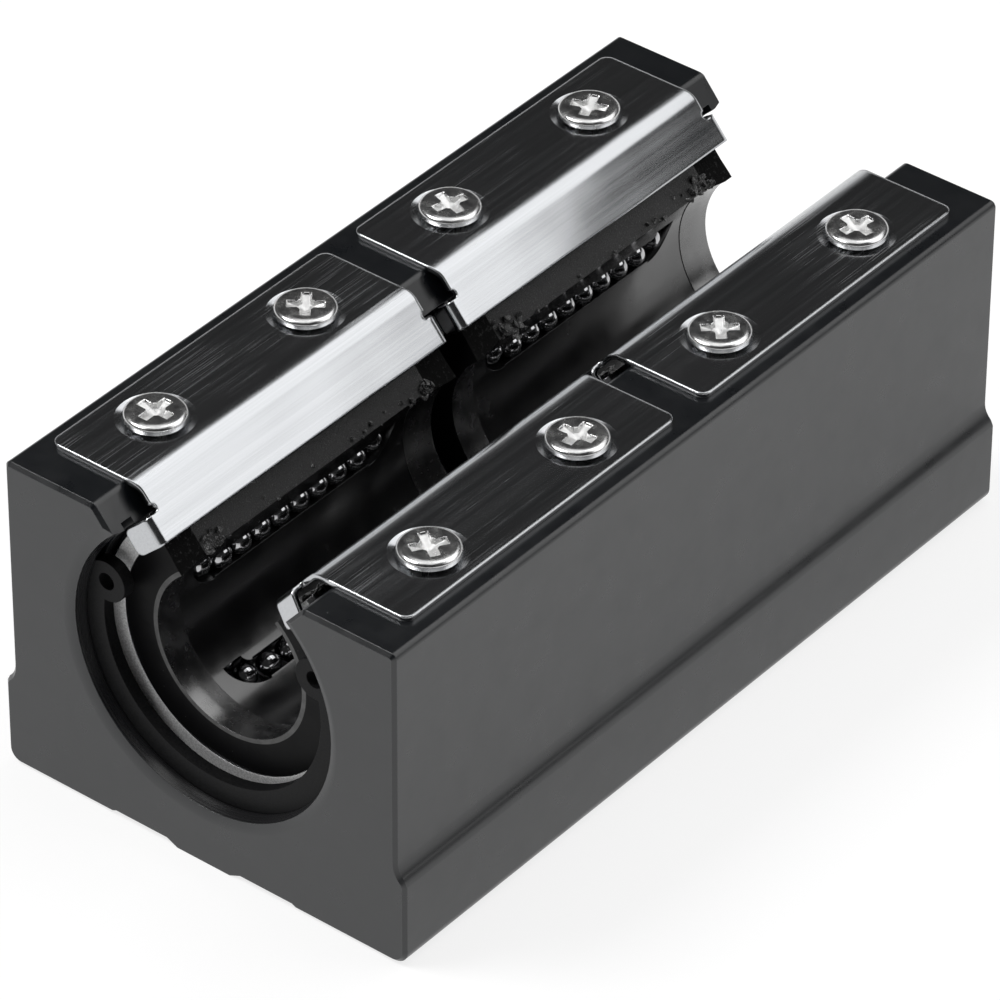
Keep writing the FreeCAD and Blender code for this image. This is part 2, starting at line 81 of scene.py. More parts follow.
# The plates, whose bend, dishes, bow and waves are shaded and not cut
BEND_INSET = 3.956 * MM  # from a plate's inner side to where its flat top ends
SAG_BEFORE, SAG_AFTER, SAG_DEPTH = 1.3 * MM, 0.8 * MM, 0.375 * MM  # next to the bend
DISH_FLOOR, DISH_RIM, DISH_DEPTH = 2.7 * MM, 3.6 * MM, 0.37 * MM  # round each screw
FRONT_BOW = 0.36  # a front plate's bow, as a share of a rear plate's
WAVE_DEPTH = 0.16 * MM
ROLLED_EDGE = 0.34 * MM

# The burrs: lengths, and shares of a flake's own length or width
BURR_SEED = 11
BURR_STEPS, BURR_SIDES = 10, 8  # points along a flake and round it
BURR_GATHER = 1.1 * MM  # mean distance of most flakes from the retainer's ends
BURR_MARGIN = 0.4 * MM  # least distance of a foot from the ends
BURR_CLIMB = 0.9 * MM  # how far up the slit from the bore's edge a foot may stand
BURR_LEAST, BURR_MIDWAY = 0.35, 0.55  # the smallest flake, and any away from the ends
BURR_CURL = (1.2, 3.6)  # least and greatest turn from foot to tip, in radians
BURR_LIFT = 0.5  # rise of the curl out of the slit's plane, as a share of a circle's
BURR_WIDTH, BURR_THICKNESS, BURR_WOBBLE = 0.22, 0.30, 0.35
BURR_TIPS = (0.06, 0.94)  # part of a half wave that the taper takes, so no end is a point

# The screws: lengths, and shares of the head's radius or height
SCREW_TURN = 37.0  # how much further each screw is turned than the last, in degrees
SCREW_SECTORS = 144
SHANK_RADIUS, TIP_RADIUS, TIP_LENGTH = 1.22 * MM, 0.95 * MM, 0.3 * MM
HEAD_MIDDLE, HEAD_FLAT, HEAD_RINGS = 0.04 * MM, 0.66, 30  # the rings of points over the recess
HEAD_EDGE = (0.72, 0.78, 0.84, 0.88, 0.91, 0.94, 0.965, 0.985, 0.997, 1.0)  # and outside it
CROWN_START, CROWN_POWER, CROWN_RIM = 0.74, 2.2, 0.50
RIM_HEIGHT, RIM_UNDERCUT = 0.10, 0.08 * MM
RECESS_CORE = 1.9  # radius of the cross's round middle, in half widths of a slot
RECESS_WALL = 0.16 * MM  # width of the recess's sloping wall, seen from above
RECESS_REACH, RECESS_LEAST = 1.25, 0.25  # the floor climbs with radius, down to this depth
RECESS_HIGHLIGHT_START = 0.2  # the recess's painted highlight begins at this share of its depth

# The materials and the studio
NOISE_SPAN = (0.3, 0.7)  # a noise keeps between these mostly
MIX_FIRST, MIX_SECOND, MIX_RESULT = 6, 7, 2  # a Mix node's colour sockets
FLOOR_DROP = 0.02 * MM  # keeps the floor clear of the object's underside
GLOW_FADE = 6.0  # elevation over which the pale wall turns dark, in degrees
SENSOR_WIDTH = 36.0  # in millimetres, as the focal length is
CLIP_START = 0.01


# Mesh making

def closed_faces(rows, columns, flip=False):
    """Faces of a grid that closes round its columns, with a fan of triangles at each end.

    Quad (i, j) joins points (i, j), (i, j+1), (i+1, j+1) and (i+1, j) of the grid.  The middles
    of the first and the last fan are the two points that follow the grid's own."""
    i = np.arange(rows - 1)[:, None] * columns
    j = np.arange(columns)[None, :]
    k = (j + 1) % columns
    quads = np.stack([i + j, i + k, i + columns + k, i + columns + j], axis=-1)
    first, last = rows * columns, (rows - 1) * columns
    pairs = np.stack([j, k], axis=-1)[0].tolist()
    faces = quads.reshape(-1, 4).tolist()
    faces += [[first, b, a] for a, b in pairs]
    faces += [[first + 1, last + a, last + b] for a, b in pairs]
    return [face[::-1] for face in faces] if flip else faces


def joined(parts, faces):
    """The points of like parts in one array, and the faces of one part for each of them."""
    step = len(parts[0])
    every = [[k * step + v for v in face] for k in range(len(parts)) for face in faces]
    return np.concatenate(parts), every


def new_piece(name, points, faces, materials, slot, indices=None):
    """A mesh object of the given points and faces, in metres, riding on the root body."""
    mesh = bpy.data.meshes.new(name)
    mesh.from_pydata(np.asarray(points, float).tolist(), [], faces)
    for material in materials:
        mesh.materials.append(material)
    if indices is not None:
        mesh.polygons.foreach_set("material_index", np.asarray(indices, np.int32))
    piece = bpy.data.objects.new(name, mesh)
    bpy.context.scene.collection.objects.link(piece)
    mesh.validate()
    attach(piece, "root")
    return piece


def soften(piece, angle):
    """Gives every corner the area-weighted mean normal of the faces round it within the angle.

    n(corner) = normalise(sum of area_k * n_k over faces k at the vertex with n_k . n > cos(angle)),
    so flats stay flat up to a tangent fillet, and a round surface shades as round."""
    mesh = piece.data
    normals = np.empty(len(mesh.polygons) * 3, np.float32)
    areas = np.empty(len(mesh.polygons), np.float32)
    totals = np.empty(len(mesh.polygons), np.int32)
    vertices = np.empty(len(mesh.loops), np.int32)
    mesh.polygons.foreach_get("normal", normals)
    mesh.polygons.foreach_get("area", areas)
    mesh.polygons.foreach_get("loop_total", totals)
    mesh.loops.foreach_get("vertex_index", vertices)
    normals = normals.reshape(-1, 3)
    polygon = np.repeat(np.arange(len(totals)), totals)
    order = np.argsort(vertices, kind="stable")
    sorted_vertices = vertices[order]
    starts = np.searchsorted(sorted_vertices, sorted_vertices, side="left")
    counts = np.searchsorted(sorted_vertices, sorted_vertices, side="right") - starts
    place = np.arange(len(order)) - starts
    face = polygon[order]
    own = normals[face]
    total = own * areas[face][:, None]
    limit = math.cos(angle)
    for shift in range(1, int(counts.max())):
        other = face[starts + (place + shift) % counts]
        near = (shift < counts) & ((normals[other] * own).sum(axis=1) > limit)
        total += np.where(near[:, None], normals[other] * areas[other][:, None], 0)
    result = np.empty_like(total)
    result[order] = total / np.maximum(np.linalg.norm(total, axis=1, keepdims=True), 1e-20)
    mesh.polygons.foreach_set("use_smooth", np.ones(len(mesh.polygons), bool))
    mesh.normals_split_custom_set([tuple(n) for n in result])
    mesh.update()


def dressed_copy(node, materials, chooser=None):
    """Makes a merged and smooth-shaded copy of a CAD node, which it replaces.

    chooser(centres, normals) gives each face the number of its material."""
    source = frame["nodes"][node]
    mesh = source.data.copy()
    work = bmesh.new()
    work.from_mesh(mesh)
    bmesh.ops.remove_doubles(work, verts=work.verts, dist=WELD)
    bmesh.ops.dissolve_limit(work, angle_limit=FLAT, verts=work.verts, edges=work.edges)
    work.to_mesh(mesh)
    work.free()
    mesh.materials.clear()
    for material in materials:
        mesh.materials.append(material)
    numbers = np.zeros(len(mesh.polygons), np.int32)
    if chooser:
        centres = np.array([p.center for p in mesh.polygons])
        normals = np.array([p.normal for p in mesh.polygons])
        numbers = chooser(centres, normals).astype(np.int32)
    mesh.polygons.foreach_set("material_index", numbers)
    piece = bpy.data.objects.new("dressed_" + node, mesh)
    bpy.context.scene.collection.objects.link(piece)
    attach(piece, "root")
    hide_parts(node)
    soften(piece, SMOOTH_CAD)


def radial(points):
    """Distance of each point from the shaft axis, and its angle from +Z towards +X."""
    x, z = points[:, 0], points[:, 2] - AXIS_HEIGHT
    return np.hypot(x, z), np.arctan2(x, z)


def on_bore(centres, normals):
    """Which faces look at the shaft axis."""
    angle = radial(centres)[1]
    return -(normals[:, 0] * np.sin(angle) + normals[:, 2] * np.cos(angle)) > INWARD


def on_slit(centres, normals):
    """Which faces lie on the two planes where the bearings are slit open, and look round."""
    distance, angle = radial(centres)
    away = np.abs(distance * np.sin(np.abs(angle) - math.radians(OPENING_ANGLE / 2)))
    turned = np.abs(normals[:, 0] * np.cos(angle) - normals[:, 2] * np.sin(angle))
    return (away < SLIT_REACH) & (turned > ROUNDWARD)


def housing_chooser(centres, normals):
    """0 on the housing's extruded faces and 1 on its turned ones."""
    return on_bore(centres, normals) & (radial(centres)[0] < TURNED_RADIUS)


def shell_chooser(centres, normals):
    """0 on a shell's round faces, 1 on its ends and 2 where the saw cut it."""
    ends = np.abs(normals[:, 1]) > ENDWARD
    return np.where(ends, 1, np.where(on_slit(centres, normals), 2, 0))


def seal_chooser(node):
    """The chooser for one seal, which has to know where the seal's two ends are."""
    low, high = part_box(node)

    def choose(centres, normals):
        """0 on the skin, 1 in the bore, 2 on the lip's front and 3 where the saw cut it."""
        y = centres[:, 1]
        tip = np.minimum(y - low[1], high[1] - y) < LIP_DEPTH
        outer = np.abs(y) > (abs(low[1]) + abs(high[1])) / 2
        lip = tip & outer & (np.abs(normals[:, 1]) > LIP_ENDWARD)
        skin = np.where(lip, 2, np.where(on_bore(centres, normals), 1, 0))
        return np.where(on_slit(centres, normals), 3, skin)

    return choose


def islands(node):
    """The separate solids of a node, each as an array of its distinct points."""
    work = bmesh.new()
    work.from_mesh(frame["nodes"][node].data)
    bmesh.ops.remove_doubles(work, verts=work.verts, dist=WELD)
    groups, seen = [], set()
    for first in work.verts:
        if first in seen:
            continue
        seen.add(first)
        stack, found = [first], []
        while stack:
            vertex = stack.pop()
            found.append(tuple(vertex.co))
            for edge in vertex.link_edges:
                other = edge.other_vert(vertex)
                if other not in seen:
                    seen.add(other)
                    stack.append(other)
        groups.append(np.array(found))
    work.free()
    return groups


# Materials

class Nodes:
    """A short hand for building one material's node tree."""

    def __init__(self, name):
        self.material = bpy.data.materials.get(name) or bpy.data.materials.new(name)
        self.material.use_nodes = True
        self.tree = self.material.node_tree
        self.tree.nodes.clear()
        self.output = self.tree.nodes.new("ShaderNodeOutputMaterial")
        self.shader = self.add("ShaderNodeBsdfPrincipled")
        self.link(self.shader.outputs["BSDF"], self.output.inputs["Surface"])
        self.place = self.add("ShaderNodeTexCoord").outputs["Object"]

    def add(self, kind, **settings):
        """Adds a node and sets its properties."""
        node = self.tree.nodes.new(kind)
        for key, value in settings.items():
            setattr(node, key, value)
        return node

    def link(self, output, socket):
        """Joins an output to an input."""
        self.tree.links.new(output, socket)

    def feed(self, socket, value):
        """Sets a socket to a number or a colour, or joins an output to it."""
        if isinstance(value, (int, float)):
            socket.default_value = value
        elif isinstance(value, (tuple, Color)):
            socket.default_value = (*value, 1.0)
        else:
            self.link(value, socket)

    def fill(self, node, **values):
        """Feeds a node's inputs, each named with _ for a space."""
        for key, value in values.items():
            self.feed(node.inputs[key.replace("_", " ")], value)

    def stretched(self, scale):
        """The object's coordinates, each multiplied by its own factor."""
        mapping = self.add("ShaderNodeMapping")
        mapping.inputs["Scale"].default_value = scale
        self.link(self.place, mapping.inputs["Vector"])
        return mapping.outputs["Vector"]

    def noise(self, scale, detail=2.0, roughness=0.5, vector=None):
        """A noise that mostly keeps within NOISE_SPAN, at the scale in waves a metre."""
        node = self.add("ShaderNodeTexNoise")
        self.fill(node, Scale=scale, Detail=detail, Roughness=roughness,
                  Vector=vector or self.place)
        return node.outputs["Fac"]

    def ranged(self, value, low, high, to_low, to_high, smooth=False):
        """Maps low..high onto to_low..to_high, and holds it there."""
        node = self.add("ShaderNodeMapRange")
        if smooth:
            node.interpolation_type = "SMOOTHSTEP"
        self.fill(node, Value=value, From_Min=low, From_Max=high, To_Min=to_low, To_Max=to_high)
        return node.outputs["Result"]

    def maths(self, operation, first, second):
        """One step of arithmetic on two values, either of which may be a number."""
        node = self.add("ShaderNodeMath", operation=operation)
        self.feed(node.inputs[0], first)
        self.feed(node.inputs[1], second)
        return node.outputs["Value"]

    def mixed(self, factor, first, second):
        """A colour between two colours, each given as a colour or as an output."""
        node = self.add("ShaderNodeMix", data_type="RGBA")
        self.link(factor, node.inputs["Factor"])
        self.feed(node.inputs[MIX_FIRST], first)
        self.feed(node.inputs[MIX_SECOND], second)
        return node.outputs[MIX_RESULT]

    def spread(self, value, to_low, to_high):
        """Maps the span that a noise mostly keeps within onto to_low..to_high."""
        return self.ranged(value, *NOISE_SPAN, to_low, to_high)

    def tinted(self, value, first, second, span=NOISE_SPAN):
        """A colour between two colours, by where the value lies in the span."""
        return self.mixed(self.ranged(value, *span, 0.0, 1.0), first, second)

    def bump(self, height, distance, strength=1.0, normal=None):
        """Tilts the normal by a height field of the given distance in metres."""
        node = self.add("ShaderNodeBump")
        self.fill(node, Strength=strength, Distance=distance, Height=height)
        if normal is not None:
            self.link(normal, node.inputs["Normal"])
        return node.outputs["Normal"]

    def rounded(self, radius, samples=4):
        """The normal as if every edge were rounded by the radius in metres."""
        node = self.add("ShaderNodeBevel", samples=samples)
        node.inputs["Radius"].default_value = radius
        return node.outputs["Normal"]

    def edge_mask(self, radius, low, high):
        """1 along the edges and 0 on flats: how far the rounded normal leaves the true one.

        Low and high are the two normals' dot products at which it is 1 and 0."""
        dot = self.add("ShaderNodeVectorMath", operation="DOT_PRODUCT")
        self.link(self.rounded(radius), dot.inputs[0])
        self.link(self.add("ShaderNodeNewGeometry").outputs["Normal"], dot.inputs[1])
        return self.ranged(dot.outputs["Value"], high, low, 0.0, 1.0)

    def part(self, vector, name):
        """A vector's X, Y or Z."""
        split = self.add("ShaderNodeSeparateXYZ")
        self.link(vector, split.inputs[0])
        return split.outputs[name]

    def falling(self, start, finish):
        """A smooth step from 1 at one X to 0 at another, in the object's frame."""
        return self.ranged(self.part(self.place, "X"), start, finish, 1.0, 0.0, smooth=True)

    def between(self, start, finish):
        """-1 at one Y and 1 at another, in the object's frame."""
        return self.ranged(self.part(self.place, "Y"), start, finish, -1.0, 1.0)

    def upward(self, low, high):
        """1 on faces that look up and 0 on the others."""
        normal = self.add("ShaderNodeNewGeometry").outputs["Normal"]
        return self.ranged(self.part(normal, "Z"), low, high, 0.0, 1.0)

    def distance(self, point):
        """Level distance from a point in the object's frame, in metres."""
        flat = self.add("ShaderNodeVectorMath", operation="MULTIPLY")
        self.link(self.place, flat.inputs[0])
        flat.inputs[1].default_value = (1.0, 1.0, 0.0)
        away = self.add("ShaderNodeVectorMath", operation="DISTANCE")
        self.link(flat.outputs["Vector"], away.inputs[0])
        away.inputs[1].default_value = (point[0], point[1], 0.0)
        return away.outputs["Value"]

    def specks(self, scale, size, share):
        """Scattered dots: 1 at a cell's point and 0 from the size on, in some share of cells."""
        cells = self.add("ShaderNodeTexVoronoi")
        self.fill(cells, Scale=scale, Vector=self.place)
        near = self.ranged(cells.outputs["Distance"], size * 0.6, size, 1.0, 0.0)
        split = self.add("ShaderNodeSeparateColor")
        self.link(cells.outputs["Color"], split.inputs[0])
        chosen = self.maths("LESS_THAN", split.outputs[0], share)
        return self.maths("MULTIPLY", near, chosen)

    def grained(self, grain, dark, pale, rough, height, strength, edge, span=NOISE_SPAN, **values):
        """One noise that tints, roughens and bumps a surface, with edges rounded or sharp."""
        self.set(
            Base_Color=self.tinted(grain, dark, pale, span),
            Roughness=self.spread(grain, *rough),
            Normal=self.bump(grain, height, strength, self.rounded(edge) if edge else None),
            **values,
        )
        return self.material

    def set(self, **values):
        """Sets the shader's own sockets, from numbers, colours or outputs."""
        self.fill(self.shader, **values)


def grey(level):
    """A neutral colour."""
    return (level, level, level)


def anodised_material(settings):
    """Satin black anodising on an extrusion: die lines along Y, fine etch, dust, and pale edges
    that are partly wear and partly a painted highlight.
    """
    n = Nodes("black_anodised_surface")
    die_lines = n.noise(1.0, 3.0, 0.6, n.stretched((2600.0, 18.0, 2600.0)))
    etch = n.noise(9000.0, 2.0, 0.5)
    body = n.tinted(n.noise(60.0, 3.0, 0.5), settings.anodised_dark, settings.anodised_pale)
    # painted highlight: the base colour turns pale along every edge, partly for wear and partly for
    # the light that the rounded edges catch
    edge = n.edge_mask(0.12 * MM, 0.80, 0.995)
    dust = n.maths("MULTIPLY", n.specks(1500.0, 0.09, 0.05), n.upward(0.6, 0.9))
    worn = n.mixed(n.maths("MULTIPLY", edge, 0.45), body, settings.anodised_edge_wear_and_highlight)
    lined = n.bump(die_lines, 0.004 * MM, 0.5, n.rounded(0.10 * MM))
    n.set(
        Base_Color=n.mixed(n.maths("MULTIPLY", dust, 0.6), worn, grey(0.35)),
        Roughness=n.spread(n.noise(350.0, 4.0, 0.6), settings.satin - 0.04, settings.satin + 0.05),
        IOR=1.62,
        Normal=n.bump(etch, 0.004 * MM, 0.5, lined),
    )
    return n.material


def turned_material(settings):
    """The same anodising where a boring bar cut it: fine rings round the bore's axis."""
    n = Nodes("black_turned_surface")
    rings = n.noise(1.0, 2.0, 0.6, n.stretched((8.0, 5200.0, 8.0)))
    n.set(
        Base_Color=n.tinted(n.noise(90.0, 3.0, 0.5), settings.turned_dark, settings.turned_pale),
        Roughness=n.spread(rings, 0.22, 0.34),
        IOR=1.62,
        Normal=n.bump(rings, 0.006 * MM, 0.6, n.rounded(0.08 * MM)),
    )
    return n.material


def sheet_material(settings, name, screws, bend, side, ends):
    """Cold-rolled stainless strip, drawn along Y, dished round its screws, with rolled edges.

    The dish is a height that falls evenly from the dish's rim to the screw's head, with the
    distance from the nearer of the two screws as its variable.  The sheet also sags by a
    smooth step in X just before its bend, and waves a little over its length.  It is
    bowed as well, a rear strip most: its height falls with the square of t, the way from its
    middle to its ends."""
    n = Nodes(name)
    lines = n.noise(1.0, 4.0, 0.65, n.stretched((5200.0, 30.0, 5200.0)))
    broad = n.noise(1.0, 2.0, 0.5, n.stretched((1500.0, 12.0, 1500.0)))
    hairs = n.noise(1.0, 2.0, 0.5, n.stretched((7000.0, 80.0, 7000.0)))
    patch = n.ranged(n.noise(90.0, 2.0, 0.5), 0.42, 0.62, 0.0, 1.0)
    brushed = n.maths("MULTIPLY", n.ranged(hairs, 0.52, 0.66, 0.0, 1.0), patch)
    scratches = n.maths("MULTIPLY", brushed, n.upward(0.8, 0.95))
    dust = n.maths("MULTIPLY", n.specks(2200.0, 0.08, 0.04), n.upward(0.6, 0.9))
    metal = n.tinted(lines, settings.stainless_dark, settings.stainless_pale)
    gloss = n.spread(broad, settings.sheet_gloss, settings.sheet_gloss + 0.06)
    grain = n.bump(lines, 0.0008 * MM, 0.5, n.rounded(ROLLED_EDGE, 8))
    sag = n.falling(bend + side * SAG_BEFORE, bend - side * SAG_AFTER)
    sagged = n.bump(sag, SAG_DEPTH, 1.0, grain)
    t = n.between(ends[0], ends[1])
    fall = -settings.bow * (1.0 if ends[0] > 0 else FRONT_BOW)
    bowed = n.bump(n.maths("MULTIPLY", t, t), fall, 1.0, sagged)
    waved = n.bump(n.noise(75.0, 1.0, 0.4), WAVE_DEPTH, 1.0, bowed)
    near = n.maths("MINIMUM", n.distance(screws[0]), n.distance(screws[1]))
    dish = n.ranged(near, DISH_FLOOR, DISH_RIM, 0.0, 1.0)
    n.set(
        Base_Color=n.mixed(n.maths("MULTIPLY", dust, 0.5), metal, grey(0.9)),
        Metallic=1.0,
        Roughness=n.maths("ADD", gloss, n.maths("MULTIPLY", scratches, 0.15)),
        Normal=n.bump(dish, DISH_DEPTH, 1.0, waved),
    )
    return n.material


def screw_material(settings):
    """Bright zinc plate, a little milky and uneven."""
    n = Nodes("bright_plate_surface")
    cloud = n.noise(900.0, 3.0, 0.6)
    fine = n.noise(9000.0, 2.0, 0.5)
    n.set(
        Base_Color=n.tinted(cloud, settings.zinc_dark, settings.zinc_pale),
        Metallic=1.0,
        Roughness=n.spread(cloud, 0.18, 0.30),
        Normal=n.bump(fine, 0.003 * MM, 0.6),
    )
    return n.material


def recess_highlight_material():
    """A paler, less metallic plate in the cross recess: a painted highlight for the light that the
    recess's walls throw to one another.
    """
    n = Nodes("recess_painted_highlight_surface")
    cloud = n.noise(1400.0, 3.0, 0.6)
    return n.grained(cloud, grey(0.62), (0.88, 0.88, 0.87), (0.25, 0.40), 0.02 * MM, 0.5, 0.0,
                     Metallic=0.45)


def plastic_material(settings):
    """Glossy black acetal under a film of oil, with faint flow marks."""
    n = Nodes("black_acetal_surface")
    flow = n.noise(260.0, 3.0, 0.55)
    n.set(
        Base_Color=settings.acetal,
        Roughness=n.spread(flow, 0.16, 0.28),
        IOR=1.9,
        Normal=n.bump(flow, 0.02 * MM, 0.5, n.rounded(0.06 * MM)),
    )
    return n.material


def rubber_material(settings):
    """Nitrile rubber with a dull moulded skin and a little dust."""
    n = Nodes("black_rubber_surface")
    skin = n.noise(2500.0, 3.0, 0.6)
    n.set(
        Base_Color=n.mixed(n.specks(1700.0, 0.10, 0.06), settings.rubber, grey(0.06)),
        Roughness=n.spread(n.noise(200.0, 3.0, 0.5), 0.34, 0.46),
        IOR=1.16,
        Normal=n.bump(skin, 0.006 * MM, 0.5, n.rounded(0.08 * MM)),
    )
    return n.material


def oiled_rubber_material(settings):
    """The seal's bore, which the shaft has polished and left wet with oil."""
    n = Nodes("oiled_rubber_surface")
    skin = n.noise(900.0, 3.0, 0.6)
    n.set(
        Base_Color=settings.oiled_rubber,
        Roughness=n.spread(skin, 0.20, 0.30),
        IOR=2.4,
        Normal=n.bump(skin, 0.012 * MM, 0.5, n.rounded(0.08 * MM)),
    )
    return n.material


def lip_material():
    """The grey worn front of the seal's lip."""
    n = Nodes("worn_lip_surface")
    wear = n.noise(1200.0, 3.0, 0.6)
    n.set(
        Base_Color=n.tinted(wear, grey(0.035), grey(0.075), (0.35, 0.65)),
        Roughness=n.spread(n.noise(600.0, 2.0, 0.5), 0.40, 0.50),
        IOR=1.5,
    )
    return n.material


def torn_rubber_material():
    """Rubber where the saw tore it: black and dull."""
    n = Nodes("torn_rubber_surface")
    tears = n.noise(2600.0, 4.0, 0.7)
    return n.grained(tears, grey(0.004), grey(0.05), (0.55, 0.75), 0.10 * MM, 0.8, 0.0,
                     (0.56, 0.72), IOR=1.15)


def shell_material(settings):
    """Ground bearing steel, with grinding rings round the axis."""
    n = Nodes("ground_steel_surface")
    rings = n.noise(1.0, 3.0, 0.6, n.stretched((20.0, 6000.0, 20.0)))
    return n.grained(rings, settings.shell_dark, settings.shell_pale, (0.22, 0.36),
                     0.003 * MM, 0.5, 0.06 * MM, Metallic=1.0)


def ground_end_highlight_material():
    """The shell's ground end face, with fine marks: near-white and hardly metal, a painted
    highlight that stands in for the light the steel reflects.
    """
    n = Nodes("ground_end_painted_highlight_surface")
    marks = n.noise(5200.0, 2.0, 0.5)
    return n.grained(marks, grey(0.78), grey(0.92), (0.22, 0.32), 0.002 * MM, 0.6, 0.10 * MM,
                     (0.35, 0.65), Metallic=0.05)


def ball_material(settings):
    """Polished bearing steel under a film of oil."""
    n = Nodes("polished_ball_surface")
    n.set(
        Base_Color=n.tinted(n.noise(700.0, 2.0, 0.5), settings.ball_dark, settings.ball_pale),
        Metallic=1.0,
        Roughness=n.spread(n.noise(1500.0, 2.0, 0.5), 0.03, 0.07),
    )
    return n.material


def phosphate_material(settings):
    """Black phosphated spring steel."""
    n = Nodes("black_phosphate_surface")
    grain = n.noise(5200.0, 3.0, 0.6)
    return n.grained(grain, settings.phosphate_dark, settings.phosphate_pale, (0.34, 0.48),
                     0.006 * MM, 0.5, 0.08 * MM, IOR=1.18)


def sawn_material(name, dark, pale, metallic):
    """A face that a slitting saw left: coarse grain with pale torn specks."""
    n = Nodes(name)
    grain = n.noise(7000.0, 4.0, 0.75)
    ridges = n.noise(1.0, 4.0, 0.7, n.stretched((2600.0, 1300.0, 2600.0)))
    coarse = n.ranged(ridges, 0.45, 0.70, 0.25, 1.0)
    torn = n.maths("MULTIPLY", n.ranged(grain, 0.52, 0.62, 0.0, 1.0), coarse)
    rough = n.bump(torn, 0.03 * MM, 0.6, n.rounded(0.06 * MM))
    n.set(
        Base_Color=n.mixed(torn, dark, pale),
        Metallic=metallic,
        Roughness=n.spread(grain, 0.30, 0.60),
        Normal=n.bump(grain, 0.05 * MM, 0.8, rough),
    )
    return n.material


# Settings

def maker(kind, **fixed):
    """A function that makes settings of one kind, which share the fixed keywords."""
    def make(name, description, default):
        return kind(name=name, description=description, default=default, **fixed)
    return make


count = maker(IntProperty, min=0)
length = maker(FloatProperty, min=0.0, unit="LENGTH")
power = maker(FloatProperty, min=0.0, unit="POWER")
factor = maker(FloatProperty, min=0.0, max=1.0, subtype="FACTOR")
rotation = maker(FloatProperty, subtype="ANGLE")
colour = maker(FloatVectorProperty, min=0.0, max=1.0, size=3, subtype="COLOR")


class FinishSettings(bpy.types.PropertyGroup):
    """How polished the finishes are, and their colours."""

    satin: factor("Anodising roughness", "Mean roughness of the black anodised faces", 0.30)
    sheet_gloss: factor("Strip roughness", "Least roughness of the stainless plates", 0.13)
    bow: length("Rear plate bow", "How far a rear plate's middle is shaded as raised", 0.34 * MM)
    anodised_dark: colour("Anodising, dark", "Extruded faces, darkest", (0.002, 0.003, 0.0045))
    anodised_pale: colour("Anodising, pale", "Extruded faces, palest", (0.004, 0.005, 0.0065))
    # painted highlight: the pale edge colour is partly wear and partly stands in for the light that
    # the edges catch
    anodised_edge_wear_and_highlight: colour("Anodising, worn", "Edges of extruded faces", (0.20, 0.205, 0.21))
    turned_dark: colour("Turned, dark", "Bored faces, darkest", (0.008, 0.008, 0.009))
    turned_pale: colour("Turned, pale", "Bored faces, palest", (0.013, 0.013, 0.014))
    stainless_dark: colour("Stainless, dark", "Plates, darkest", (0.485, 0.495, 0.510))
    stainless_pale: colour("Stainless, pale", "Plates, palest", (0.535, 0.545, 0.560))
    zinc_dark: colour("Zinc, dark", "Screw heads, darkest", (0.62, 0.62, 0.63))
    zinc_pale: colour("Zinc, pale", "Screw heads, palest", (0.80, 0.80, 0.79))
    shell_dark: colour("Bearing steel, dark", "Shells, darkest", (0.36, 0.36, 0.37))
    shell_pale: colour("Bearing steel, pale", "Shells, palest", (0.50, 0.50, 0.51))
    ball_dark: colour("Balls, dark", "Balls, darkest", (0.38, 0.38, 0.39))
    ball_pale: colour("Balls, pale", "Balls, palest", (0.48, 0.48, 0.49))
    acetal: colour("Acetal", "Ball retainers", (0.006, 0.006, 0.0065))
    rubber: colour("Rubber", "Skin of the seals", (0.005, 0.005, 0.0055))
    oiled_rubber: colour("Oiled rubber", "Bore of the seals", (0.007, 0.007, 0.0075))
    phosphate_dark: colour("Phosphate, dark", "Circlips, darkest", (0.005, 0.005, 0.0055))
    phosphate_pale: colour("Phosphate, pale", "Circlips, palest", (0.014, 0.014, 0.0145))


class BallSettings(bpy.types.PropertyGroup):
    """The recirculating balls."""

    radius: length("Ball radius", "Radius of one steel ball", 1.1905 * MM)
    rings: count("Rings", "Faces of a ball from pole to pole", 10)
    sectors: count("Sectors", "Faces round a ball", 18)


class BurrSettings(bpy.types.PropertyGroup):
    """The burrs on the retainers' slit edges."""

    flakes: count("Flakes", "Flakes on one slit edge", 44)
    size: length("Size", "Length of the largest flake", 2.0 * MM)
    bore_radius: length("Bore radius", "Radius of the retainer's bore", 8.5 * MM)
    dark: colour("Burr, dark", "Colour of the flakes", grey(0.030))
    pale: colour("Burr, pale", "Colour of their stretched parts", grey(0.75))


class ScrewSettings(bpy.types.PropertyGroup):
    """The pan-head plate screws."""

    head_radius: length("Head radius", "Radius of the head", 2.85 * MM)
    head_height: length("Head height", "Height of the head above the plate", 0.85 * MM)
    recess_span: length("Recess span", "Length across the cross recess", 3.3 * MM)
    recess_width: length("Recess width", "Width of one slot of the cross recess", 0.85 * MM)
    recess_depth: length("Recess depth", "Depth of the cross recess", 0.8 * MM)


